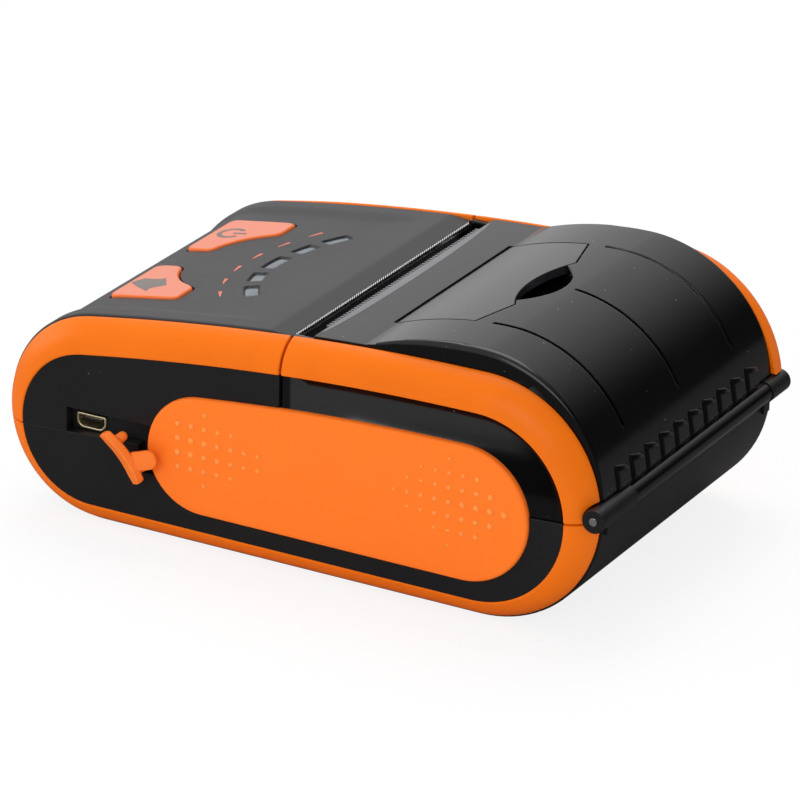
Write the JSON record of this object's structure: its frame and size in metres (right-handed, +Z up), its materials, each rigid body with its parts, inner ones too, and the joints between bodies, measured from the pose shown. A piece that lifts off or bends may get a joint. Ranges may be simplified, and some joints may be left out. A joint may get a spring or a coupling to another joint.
{
  "type": "thermal printer",
  "caption": "Pocket thermal receipt printer with orange rims and side grips, a hinged paper cover, a release lever, two keys and a rubber USB plug.",
  "frame": {"origin": "middle of the flat underside, on the surface the printer rests on", "axes": "+X to the printer's right side, which carries the USB socket; +Y from the button end towards the hinge end; +Z up"},
  "size_m": [0.0865, 0.1262, 0.0514],
  "materials": {
    "black_case": "satin",
    "smoke_cover": "glossy",
    "grey_top": "fine matte texture",
    "orange_rim": "satin",
    "orange_grip": "satin",
    "orange_plug": "satin",
    "key_coral": "satin",
    "window_clear": "clear grey",
    "steel": "brushed",
    "alloy": "satin",
    "brass": "satin",
    "board_green": "solder resist",
    "switch_black": "matte",
    "ceramic": "glazed",
    "gear_white": "satin",
    "roller_black": "matte",
    "inner_black": "matte",
    "battery_blue": "shrink sleeve"
  },
  "bodies": {
    "base": {"base_shell": "black_case", "base_rim_right": "orange_rim", "base_rim_left": "orange_rim", "upper_housing": "black_case", "top_cover": "grey_top", "front_rim_right": "orange_rim", "front_rim_left": "orange_rim", "grip_right": "orange_grip", "grip_left": "orange_grip", "tear_bar": "steel", "light_windows": "window_clear", "key_board": "board_green", "key_switches": "switch_black", "main_board": "board_green", "usb_socket": "brass", "print_head": "ceramic", "heat_sink": "alloy", "head_springs": "steel", "mechanism_frame": "steel", "stepper_motor": "steel", "idler_pin": "steel", "paper_bay": "inner_black", "battery_pack": "battery_blue", "battery_door": "black_case", "door_screws": "steel", "case_screws": "steel", "hinge_pin": "steel"},
    "cover": {"lid_shell": "smoke_cover", "lid_rim_right": "orange_rim", "lid_rim_left": "orange_rim", "platen_carrier": "inner_black", "tooth_strip": "steel"},
    "lever": {"release_lever": "smoke_cover", "lever_axle": "steel"},
    "platen": {"platen_shaft": "steel", "platen_rubber": "roller_black", "platen_gear": "gear_white"},
    "motor_gear": {"motor_pinion": "brass"},
    "idler": {"idler_gear": "gear_white"},
    "power_key": {"power_button": "key_coral"},
    "feed_key": {"feed_button": "key_coral"},
    "plug": {"usb_plug": "orange_plug"}
  },
  "joints": [
    {"name": "motor_spin", "type": "hinge", "parent": "base", "child": "motor_gear", "pos_m": [-0.033, -0.01294, 0.02932], "axis": [1, 0, 0], "continuous": true},
    {"name": "idler_spin", "type": "hinge", "parent": "base", "child": "idler", "pos_m": [-0.033, -0.00332, 0.02619], "axis": [1, 0, 0], "continuous": true},
    {"name": "cover_hinge", "type": "hinge", "parent": "base", "child": "cover", "pos_m": [0, 0.062, 0.0252], "axis": [-1, 0, 0], "range_deg": [0, 95]},
    {"name": "platen_spin", "type": "hinge", "parent": "cover", "child": "platen", "pos_m": [0, 0.0042, 0.0362], "axis": [1, 0, 0], "continuous": true},
    {"name": "lever_lift", "type": "hinge", "parent": "cover", "child": "lever", "pos_m": [0, 0.0164, 0.04576], "axis": [1, 0, 0], "range_deg": [0, 20], "stiffness_Nm_per_rad": 0.02, "springref_deg": -17.19},
    {"name": "power_press", "type": "slide", "parent": "base", "child": "power_key", "axis": [0, 0.1616, -0.9869], "range_m": [0, 0.0007], "stiffness_N_per_m": 1500, "springref_m": -0.0005},
    {"name": "feed_press", "type": "slide", "parent": "base", "child": "feed_key", "axis": [0, 0.1616, -0.9869], "range_m": [0, 0.0007], "stiffness_N_per_m": 1500, "springref_m": -0.0005},
    {"name": "plug_swing", "type": "hinge", "parent": "base", "child": "plug", "pos_m": [0.0383, -0.0292, 0.0168], "axis": [0, 0, 1], "range_deg": [-10, 20], "stiffness_Nm_per_rad": 0.002}
  ],
  "couplings": [
    {"joint": "idler_spin", "follows": "platen_spin", "ratio": -0.9375},
    {"joint": "motor_spin", "follows": "platen_spin", "ratio": 1.6667}
  ]
}
